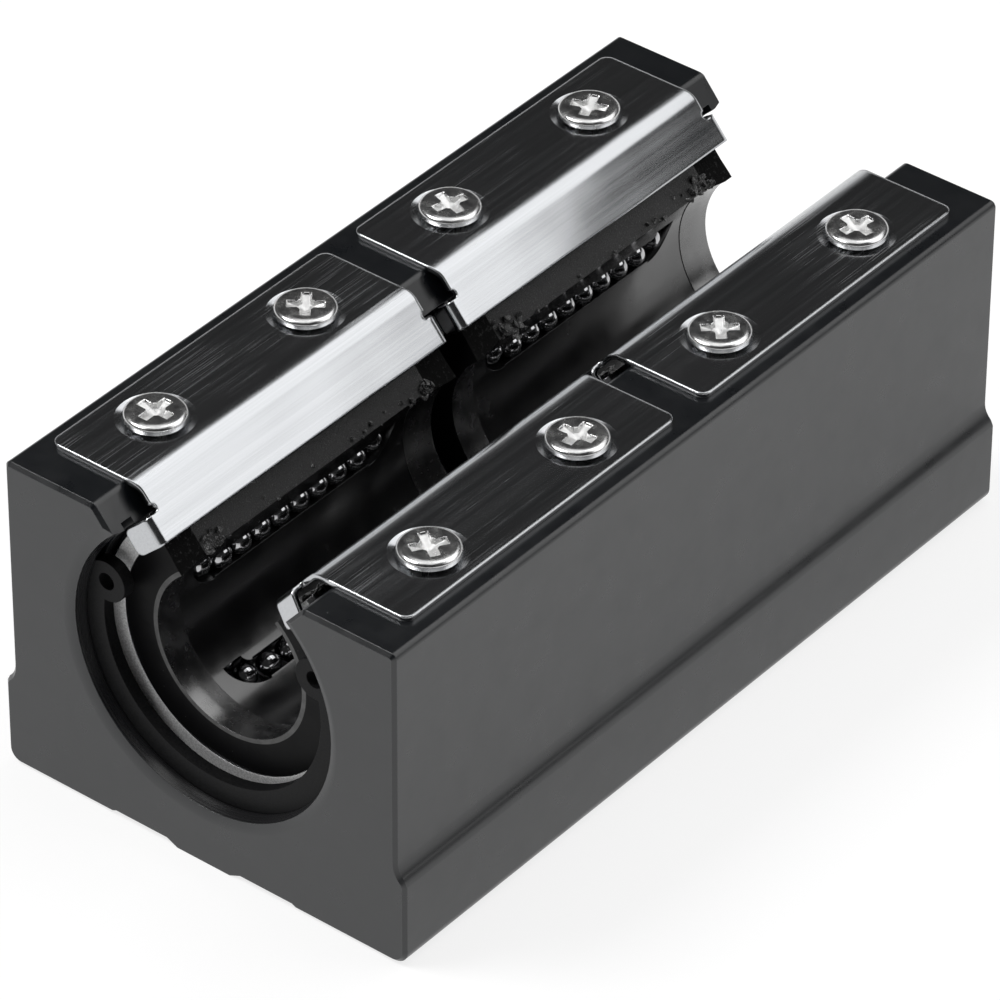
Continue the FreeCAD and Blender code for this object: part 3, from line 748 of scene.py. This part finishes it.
class StudioSettings(bpy.types.PropertyGroup):
    """The floor, the light and the camera."""

    floor_reach: length("Floor reach", "Half the width of the floor", 6.0)
    floor_colour: colour("Floor colour", "Colour of the light table", grey(0.25))
    floor_glow: factor("Floor glow", "How brightly the light table glows", 0.80)
    glow_top: rotation("Pale wall height", "Elevation where the wall fades", math.radians(8.0))
    ceiling: factor("Room brightness", "Brightness of the room above the pale wall", 0.04)
    soft_box: power("Soft box power", "Power of the soft box in watts", 1.55)
    overhead: power("Overhead power", "Power of the overhead box in watts", 1.6)
    fill: power("Fill power", "Power of the fill light in watts", 5.0)
    lens: FloatProperty(
        name="Focal length", description="Focal length on a 36 mm sensor",
        default=263.35, unit="CAMERA",
    )
    turn: rotation("Camera turn", "Angle of the camera round the object", 0.6733)
    rise: rotation("Camera rise", "Angle of the camera above the horizon", 0.6454)
    roll: rotation("Camera roll", "Angle of the camera about its line of sight", 0.0047)
    distance: length("Camera distance", "From the camera to the object's middle", 0.6476)
    aim: FloatVectorProperty(
        name="Aim", description="Sideways and upward move of the camera, in its own plane",
        default=(-1.0809 * MM, -1.8553 * MM), size=2, unit="LENGTH",
    )
    middle: length("Middle height", "Height of the point the camera turns about", 16.5 * MM)


class BearingBlockSettings(bpy.types.PropertyGroup):
    """All the settings of the dressed bearing block."""

    finish: PointerProperty(type=FinishSettings)
    balls: PointerProperty(type=BallSettings)
    burrs: PointerProperty(type=BurrSettings)
    screws: PointerProperty(type=ScrewSettings)
    studio: PointerProperty(type=StudioSettings)


# Operators

class BEARINGBLOCK_OT_block(bpy.types.Operator):
    """Dress the anodised housing"""

    bl_idname = "bearingblock.block"
    bl_label = "Housing"

    def execute(self, context):
        settings = context.scene.bearing_block.finish
        materials = [anodised_material(settings), turned_material(settings)]
        dressed_copy("block_body", materials, housing_chooser)
        return {"FINISHED"}


class BEARINGBLOCK_OT_bearings(bpy.types.Operator):
    """Dress the shells, the retainers and the seals"""

    bl_idname = "bearingblock.bearings"
    bl_label = "Bearings"

    def execute(self, context):
        settings = context.scene.bearing_block.finish
        shells = [
            shell_material(settings),
            # the shells' ends: a painted highlight, near-white and hardly metal
            ground_end_highlight_material(),
            sawn_material("sawn_steel_surface", grey(0.010), grey(0.26), 0.5),
        ]
        retainers = [
            plastic_material(settings),
            sawn_material("sawn_acetal_surface", grey(0.006), grey(0.20), 0.0),
        ]
        seals = [
            rubber_material(settings),
            oiled_rubber_material(settings),
            lip_material(),
            torn_rubber_material(),
        ]
        for row in ROWS:
            dressed_copy(row + "_bearing_shell", shells, shell_chooser)
            dressed_copy(row + "_ball_retainer", retainers, on_slit)
            for end in ROWS:
                node = row + "_bearing_" + end + "_seal"
                dressed_copy(node, seals, seal_chooser(node))
        return {"FINISHED"}


class BEARINGBLOCK_OT_burrs(bpy.types.Operator):
    """Make the curled burrs that the saw left on the retainers' slit edges"""

    bl_idname = "bearingblock.burrs"
    bl_label = "Burrs"

    def execute(self, context):
        settings = context.scene.bearing_block.burrs
        material = sawn_material("torn_acetal_surface", settings.dark, settings.pale, 0.0)
        for k, row in enumerate(ROWS):
            low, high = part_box(row + "_ball_retainer")
            points, faces = burr_mesh(low[1], high[1], settings, BURR_SEED + k)
            name = row + "_retainer_burrs"
            piece = new_piece(name, points, faces, [material], "retainer_plastic")
            soften(piece, SMOOTH_BURR)
        return {"FINISHED"}


def burr_mesh(start, finish, settings, seed):
    """Points and faces of curled flakes along the two slit edges of a retainer's bore.

    Two flakes in three gather near the retainer's ends, and the third stands anywhere."""
    draw = np.random.default_rng(seed)
    slit = math.radians(OPENING_ANGLE / 2)
    flakes = []
    for side in (-1, 1):
        out = np.array([side * math.sin(slit), 0, math.cos(slit)])
        over = np.array([-side * math.cos(slit), 0, math.sin(slit)])
        for i in range(settings.flakes):
            near_end = i % 3 != 0
            reach = (draw.exponential(BURR_GATHER) if near_end
                     else draw.uniform(0, finish - start))
            y = start + reach if i % 2 else finish - reach
            y = min(max(y, start + BURR_MARGIN), finish - BURR_MARGIN)
            size = settings.size * draw.uniform(BURR_LEAST, 1.0)
            if not near_end:
                size *= BURR_MIDWAY
            climb = settings.bore_radius + draw.uniform(0.0, 1.0) * BURR_CLIMB
            foot = out * climb + np.array([0, y, AXIS_HEIGHT])
            flakes.append(flake(foot, out, over, size, draw))
    return joined(flakes, closed_faces(BURR_STEPS, BURR_SIDES))


def flake(foot, out, over, size, draw):
    """Points of one flake: rings from foot to tip, and then its two end points.

    It follows an arc of its own radius in the plane of over and a direction across the slit's
    edge.  Its section is an ellipse whose width tapers as the root of sin(pi t) along the arc,
    with a random wobble."""
    t = np.linspace(0, 1, BURR_STEPS)
    a = np.linspace(0, 2 * math.pi, BURR_SIDES, endpoint=False)
    low, high = BURR_TIPS
    taper = np.sqrt(np.clip(np.sin(math.pi * (low + (high - low) * t)), 0, 1))
    heading = draw.uniform(0, 2 * math.pi)
    level = np.array([0, 1, 0]) * math.cos(heading) + out * math.sin(heading)
    turn = draw.uniform(*BURR_CURL)
    arc = (t * turn)[:, None]
    line = foot + size / turn * (np.sin(arc) * level + BURR_LIFT * (1 - np.cos(arc)) * over)
    tangent = np.cos(arc) * level + np.sin(arc) * over
    flat = np.cross(level, over)
    thick = np.cross(tangent, flat)
    wide = size * BURR_WIDTH * taper * (1 + BURR_WOBBLE * draw.uniform(-1, 1, BURR_STEPS))
    wide = wide[:, None, None]
    ring = (line[:, None, :] + wide * np.cos(a)[:, None] * flat
            + BURR_THICKNESS * wide * np.sin(a)[:, None] * thick[:, None, :])
    return np.vstack([ring.reshape(-1, 3), line[:1], line[-1:]])


class BEARINGBLOCK_OT_balls(bpy.types.Operator):
    """Make the round balls of every circuit"""

    bl_idname = "bearingblock.balls"
    bl_label = "Balls"

    def execute(self, context):
        settings = context.scene.bearing_block
        material = ball_material(settings.finish)
        for row in ROWS:
            for number in range(1, CIRCUITS + 1):
                node = "{}_ball_circuit_{}".format(row, number)
                centres = np.array([group.mean(axis=0) for group in islands(node)])
                points, faces = ball_mesh(centres, settings.balls)
                piece = new_piece("round_" + node, points, faces, [material], "ball_steel")
                polygons = piece.data.polygons
                polygons.foreach_set("use_smooth", np.ones(len(polygons), bool))
                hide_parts(node)
        return {"FINISHED"}


def ball_mesh(centres, settings):
    """Points and faces of balls at the centres.

    On each ball, p(u, v) = c + R (sin u cos v, sin u sin v, cos u), u in (0, pi), v in [0, 2 pi),
    with one point at each pole."""
    u = np.linspace(0, math.pi, settings.rings + 1)[1:-1]
    v = np.linspace(0, 2 * math.pi, settings.sectors, endpoint=False)
    uu, vv = np.meshgrid(u, v, indexing="ij")
    unit = np.stack([np.sin(uu) * np.cos(vv), np.sin(uu) * np.sin(vv), np.cos(uu)], axis=-1)
    unit = np.vstack([unit.reshape(-1, 3), [[0, 0, 1], [0, 0, -1]]])
    faces = closed_faces(len(u), len(v), flip=True)
    return joined(centres[:, None, :] + unit * settings.radius, faces)


class BEARINGBLOCK_OT_circlips(bpy.types.Operator):
    """Dress the circlips"""

    bl_idname = "bearingblock.circlips"
    bl_label = "Circlips"

    def execute(self, context):
        material = phosphate_material(context.scene.bearing_block.finish)
        for row in ROWS:
            dressed_copy(row + "_circlip", [material])
        return {"FINISHED"}


class BEARINGBLOCK_OT_plates(bpy.types.Operator):
    """Dress the sprung plates"""

    bl_idname = "bearingblock.plates"
    bl_label = "Sprung plates"

    def execute(self, context):
        settings = context.scene.bearing_block.finish
        screws = [(group.min(axis=0) + group.max(axis=0)) / 2 for group in islands("plate_screws")]
        for row, along in zip(ROWS, (-1, 1)):
            for hand, across in zip(HANDS, (-1, 1)):
                own = [s for s in screws if s[0] * across > 0 and s[1] * along > 0]
                node = "{}_{}_plate".format(row, hand)
                low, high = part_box(node)
                bend = (high[0] if across < 0 else low[0]) + across * BEND_INSET
                name = "{}_{}_strip_surface".format(row, hand)
                material = sheet_material(settings, name, own, bend, across, (low[1], high[1]))
                dressed_copy(node, [material])
        return {"FINISHED"}


class BEARINGBLOCK_OT_screws(bpy.types.Operator):
    """Make the pan-head screws"""

    bl_idname = "bearingblock.screws"
    bl_label = "Plate screws"

    def execute(self, context):
        finish = context.scene.bearing_block.finish
        settings = context.scene.bearing_block.screws
        screws = []
        solids = islands("plate_screws")
        solids.sort(key=lambda solid: (solid[:, 0].mean() > 0, solid[:, 1].mean()))
        for i, solid in enumerate(solids):
            low, high = solid.min(axis=0), solid.max(axis=0)
            middle = (low + high) / 2
            base = Vector((middle[0], middle[1], high[2] - settings.head_height))
            one, faces, deep = screw_mesh(settings, base.z - low[2])
            turn = np.array(Matrix.Rotation(math.radians(SCREW_TURN * i), 3, "Z"))
            screws.append(one @ turn.T + np.array(base))
        recessed = [int(deep[face].all()) for face in faces] * len(screws)
        # the recess faces take the paler recess material, a painted highlight
        materials = [screw_material(finish), recess_highlight_material()]
        piece = new_piece("pan_head_screws", *joined(screws, faces), materials,
                          "plated_screw", recessed)
        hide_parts("plate_screws")
        soften(piece, SMOOTH_SCREW)
        return {"FINISHED"}


def recess(settings, x, y):
    """How deep the cross recess is at each point, as a smooth step from 0 outside it to 1.

    Outside is the distance from a cross, |x| < w/2 or |y| < w/2 within the span, joined with
    a disc at its middle."""
    half, span = settings.recess_width / 2, settings.recess_span / 2
    arm_x = np.maximum(np.abs(x) - half, np.abs(y) - span)
    arm_y = np.maximum(np.abs(y) - half, np.abs(x) - span)
    core = np.hypot(x, y) - RECESS_CORE * half
    outside = np.minimum(np.minimum(arm_x, arm_y), core)
    step = np.clip(0.5 - outside / RECESS_WALL, 0, 1)
    return step * step * (3 - 2 * step)


def screw_mesh(settings, shank):
    """Points and faces of a screw on a plate at z = 0, and which points lie in its recess.

    The head is a polar grid whose height is h(r) - d * s(x, y) * f(r): h(r) is the pan's crown,
    s is the recess's smooth step, and f falls evenly with r.  The rim, the shank and its tip
    are more rings under it."""
    angles = np.linspace(0, 2 * math.pi, SCREW_SECTORS, endpoint=False)
    radius, height = settings.head_radius, settings.head_height
    inner = np.linspace(HEAD_MIDDLE, HEAD_FLAT * radius, HEAD_RINGS)
    r = np.concatenate([inner, radius * np.array(HEAD_EDGE)])
    crown = np.clip((r / radius - CROWN_START) / (1 - CROWN_START), 0, 1)
    arch = np.sqrt(np.clip(1 - crown ** CROWN_POWER, 0, 1))
    h = height * (CROWN_RIM + (1 - CROWN_RIM) * arch)
    rr, aa = np.meshgrid(r, angles, indexing="ij")
    x, y = rr * np.cos(aa), rr * np.sin(aa)
    step = recess(settings, x, y)
    reach = settings.recess_span / 2 * RECESS_REACH
    fall = np.clip(1 - rr / reach, RECESS_LEAST, 1)
    z = h[:, None] - settings.recess_depth * step * fall
    rings = [np.stack([x, y, z], axis=-1)]
    for ring_radius, ring_height in (
            (radius, RIM_HEIGHT * height),
            (radius - RIM_UNDERCUT, 0.0),
            (SHANK_RADIUS, 0.0),
            (SHANK_RADIUS, TIP_LENGTH - shank),
            (TIP_RADIUS, -shank)):
        ring = [ring_radius * np.cos(angles), ring_radius * np.sin(angles),
                np.full(SCREW_SECTORS, ring_height)]
        rings.append(np.stack(ring, axis=-1)[None])
    rings = np.concatenate(rings)
    points = np.vstack([rings.reshape(-1, 3), [[0, 0, z[0].mean()], [0, 0, -shank]]])
    deep = np.zeros(len(points), bool)
    # points deep enough in the recess get its painted highlight
    deep[:step.size] = step.reshape(-1) > RECESS_HIGHLIGHT_START
    deep[-2] = True  # the middle of the head
    return points, closed_faces(len(rings), SCREW_SECTORS, flip=True), deep


class BEARINGBLOCK_OT_studio(bpy.types.Operator):
    """Make the floor, the room, the lamps and the camera"""

    bl_idname = "bearingblock.studio"
    bl_label = "Studio"

    def execute(self, context):
        settings = context.scene.bearing_block.studio
        make_floor(settings)
        make_room(context.scene, settings)
        make_lamps(settings)
        make_camera(context.scene, settings)
        context.scene.view_settings.view_transform = "Standard"
        return {"FINISHED"}


def make_floor(settings):
    """A pale light table: it glows a little and takes the object's shadow."""
    reach = settings.floor_reach
    mesh = bpy.data.meshes.new("floor")
    corners = [(-reach, -reach, 0), (reach, -reach, 0), (reach, reach, 0), (-reach, reach, 0)]
    mesh.from_pydata(corners, [], [(0, 1, 2, 3)])
    floor = bpy.data.objects.new("floor", mesh)
    floor.location.z = -FLOOR_DROP
    bpy.context.scene.collection.objects.link(floor)
    n = Nodes("floor_surface")
    n.set(
        Base_Color=settings.floor_colour,
        Roughness=0.9,
        Emission_Color=grey(1.0),
        Emission_Strength=settings.floor_glow,
    )
    mesh.materials.append(n.material)


def make_room(scene, settings):
    """A pale room that is dark overhead: brightness falls between two elevations."""
    world = bpy.data.worlds.new("room")
    world.use_nodes = True
    tree = world.node_tree
    tree.nodes.clear()
    output = tree.nodes.new("ShaderNodeOutputWorld")
    shade = tree.nodes.new("ShaderNodeBackground")
    place = tree.nodes.new("ShaderNodeTexCoord")
    split = tree.nodes.new("ShaderNodeSeparateXYZ")
    ramp = tree.nodes.new("ShaderNodeMapRange")
    ramp.interpolation_type = "SMOOTHSTEP"
    fade_end = settings.glow_top + math.radians(GLOW_FADE)
    ramp.inputs["From Min"].default_value = math.sin(settings.glow_top)
    ramp.inputs["From Max"].default_value = math.sin(fade_end)
    ramp.inputs["To Min"].default_value = 1.0
    ramp.inputs["To Max"].default_value = settings.ceiling
    tree.links.new(place.outputs["Generated"], split.inputs[0])
    tree.links.new(split.outputs["Z"], ramp.inputs["Value"])
    tree.links.new(ramp.outputs["Result"], shade.inputs["Strength"])
    tree.links.new(shade.outputs[0], output.inputs[0])
    scene.world = world


def make_lamps(settings):
    """A long soft box behind the object on its right, one overhead, and a fill in front.

    A lamp's third axis points away from the object and its first lies along its long side."""
    lamps = (  # name, power, place, direction of the long side, and its length and width
        ("soft_box", settings.soft_box, (0.243, 0.310, 0.475), (0.88, -0.22, -0.42), (0.78, 0.40)),
        ("overhead", settings.overhead, (-0.10, 0.13, 0.90), (1.0, 0.0, 0.0), (0.70, 0.70)),
        ("fill", settings.fill, (-0.42, -0.32, 0.80), (1.0, 0.0, 0.0), (0.34, 0.34)),
    )
    for name, watts, place, side, size in lamps:
        place, side = Vector(place), Vector(side)
        light = bpy.data.lights.new(name, "AREA")
        light.shape = "RECTANGLE"
        light.size, light.size_y = size
        light.energy = watts
        lamp = bpy.data.objects.new(name, light)
        away = place.normalized()
        across = (side - away * side.dot(away)).normalized()
        lamp.location = place
        lamp.rotation_mode = "QUATERNION"
        lamp.rotation_quaternion = facing(across, away.cross(across), away)
        bpy.context.scene.collection.objects.link(lamp)


def facing(first, second, third):
    """The turn that takes an object's own axes to the three given ones."""
    return Matrix((first, second, third)).transposed().to_quaternion()


def make_camera(scene, settings):
    """The camera, on a sphere about the object's middle."""
    turn, rise, roll = settings.turn, settings.rise, settings.roll
    reach = math.cos(rise)
    back = Vector((math.sin(turn) * reach, -math.cos(turn) * reach, math.sin(rise)))
    level = Vector((math.cos(turn), math.sin(turn), 0))
    over = back.cross(level)
    right = level * math.cos(roll) + over * math.sin(roll)
    up = over * math.cos(roll) - level * math.sin(roll)
    camera = bpy.data.objects.new("camera", bpy.data.cameras.new("camera"))
    camera.data.sensor_width = SENSOR_WIDTH
    camera.data.lens = settings.lens
    camera.data.clip_start = CLIP_START
    camera.rotation_mode = "QUATERNION"
    camera.rotation_quaternion = facing(right, up, back)
    middle = Vector((0, 0, settings.middle))
    aside = right * settings.aim[0] + up * settings.aim[1]
    camera.location = middle + back * settings.distance + aside
    scene.collection.objects.link(camera)
    scene.camera = camera


class BEARINGBLOCK_PT_panel(bpy.types.Panel):
    """The sidebar panel that lists the pieces"""

    bl_label = "Bearing block"
    bl_space_type = "VIEW_3D"
    bl_region_type = "UI"
    bl_category = "Bearing block"

    def draw(self, context):
        for operator in OPERATORS:
            self.layout.operator(operator.bl_idname)


OPERATORS = (
    BEARINGBLOCK_OT_block,
    BEARINGBLOCK_OT_bearings,
    BEARINGBLOCK_OT_burrs,
    BEARINGBLOCK_OT_balls,
    BEARINGBLOCK_OT_circlips,
    BEARINGBLOCK_OT_plates,
    BEARINGBLOCK_OT_screws,
    BEARINGBLOCK_OT_studio,
)
GROUPS = (
    FinishSettings,
    BallSettings,
    BurrSettings,
    ScrewSettings,
    StudioSettings,
    BearingBlockSettings,
)


def register():
    """Registers the settings, the operators and the panel."""
    for item in GROUPS + OPERATORS + (BEARINGBLOCK_PT_panel,):
        bpy.utils.register_class(item)
    bpy.types.Scene.bearing_block = PointerProperty(type=BearingBlockSettings)


def unregister():
    """Takes them away again."""
    del bpy.types.Scene.bearing_block
    for item in reversed(GROUPS + OPERATORS + (BEARINGBLOCK_PT_panel,)):
        bpy.utils.unregister_class(item)


def main():
    """Makes the whole scene."""
    register()
    bpy.ops.bearingblock.block()
    bpy.ops.bearingblock.bearings()
    bpy.ops.bearingblock.burrs()
    bpy.ops.bearingblock.balls()
    bpy.ops.bearingblock.circlips()
    bpy.ops.bearingblock.plates()
    bpy.ops.bearingblock.screws()
    bpy.ops.bearingblock.studio()
    bpy.context.view_layer.update()


if __name__ == "__main__":
    main()
